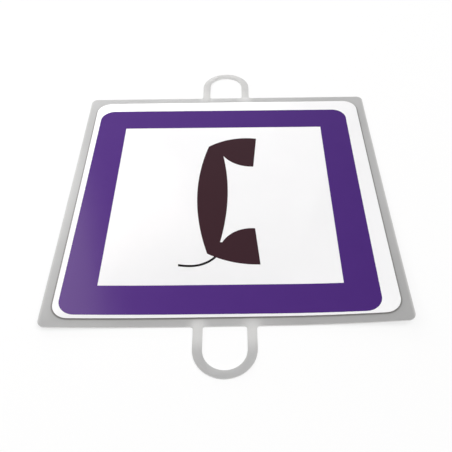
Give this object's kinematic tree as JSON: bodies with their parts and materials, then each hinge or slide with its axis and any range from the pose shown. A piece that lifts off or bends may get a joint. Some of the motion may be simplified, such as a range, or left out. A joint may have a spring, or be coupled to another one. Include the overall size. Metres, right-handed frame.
{
  "type": "road information sign",
  "caption": "Flat square road information sign, a purple border round a telephone handset figure, on a grey plastic plate with a pole loop at its top and bottom edges and slightly curled near corners.",
  "frame": {"origin": "centre of the carrier plate's underside, on the surface that the sign lies on", "axes": "+X across the sign to the right, +Y up the sign towards the figure's earpiece, +Z out of the printed face"},
  "size_m": [0.342, 0.443, 0.0073],
  "materials": {
    "carrier_plate": "grey-white polyethylene sheet, satin, slightly translucent, cut edges",
    "printed_panel": "white PVC sheet, smooth, half gloss",
    "purple_ink": "purple print, half gloss",
    "dark_ink": "dark reddish brown print, half gloss",
    "cord_ink": "black print, half gloss"
  },
  "bodies": {
    "root": {"carrier_plate": "carrier_plate", "printed_panel": "printed_panel", "border_print": "purple_ink", "handset_print": "dark_ink", "cord_print": "cord_ink"}
  },
  "joints": []
}
